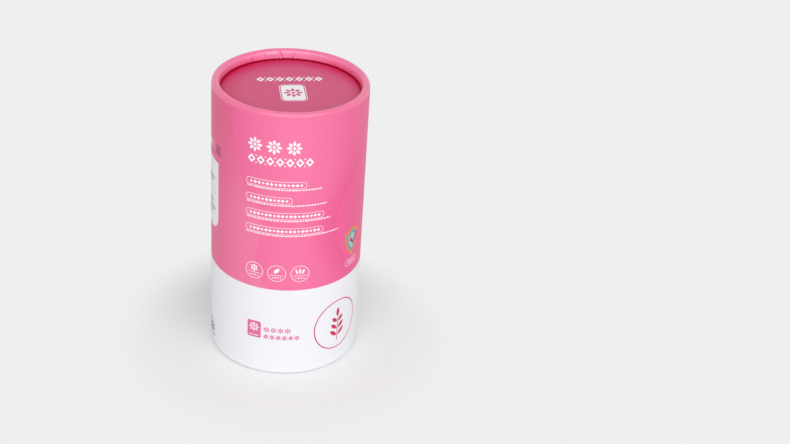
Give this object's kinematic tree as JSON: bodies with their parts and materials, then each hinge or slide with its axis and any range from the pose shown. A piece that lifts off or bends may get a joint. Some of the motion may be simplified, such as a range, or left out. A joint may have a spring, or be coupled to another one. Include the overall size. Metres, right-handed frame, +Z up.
{
  "type": "paper can",
  "caption": "Round board can with a tall pull-off lid, a short base, a glued-in neck that guides the lid, and discs held under rolled rims.",
  "frame": {"origin": "centre of the foot, on the surface that the can stands on", "axes": "+Z up the can's axis, from the base to the lid; -Y the front, where the main print is"},
  "size_m": [0.084, 0.084, 0.1623],
  "materials": {
    "pink_paper": "satin",
    "deep_pink_paper": "satin",
    "white_paper": "satin",
    "lining_paper": "matte",
    "wound_board": "matte",
    "white_glue": "satin",
    "white_print": "satin",
    "crimson_print": "satin",
    "dark_print": "satin",
    "pink_print": "satin",
    "purple_print": "satin",
    "teal_print": "satin",
    "orange_print": "satin"
  },
  "bodies": {
    "base": {"base_tube": "wound_board", "base_wrap": "white_paper", "base_lining": "lining_paper", "base_panel": "wound_board", "base_panel_face": "white_paper", "base_floor": "lining_paper", "neck_tube": "wound_board", "neck_wrap": "lining_paper", "neck_lining": "lining_paper", "neck_glue": "white_glue"},
    "lid": {"lid_tube": "wound_board", "lid_wrap": "pink_paper", "lid_lining": "lining_paper", "lid_panel": "wound_board", "lid_panel_face": "deep_pink_paper", "lid_panel_backing": "lining_paper"}
  },
  "joints": [
    {"name": "lid_lift", "type": "slide", "parent": "base", "child": "lid", "axis": [0, 0, 1], "range_m": [0, 0.052]}
  ]
}
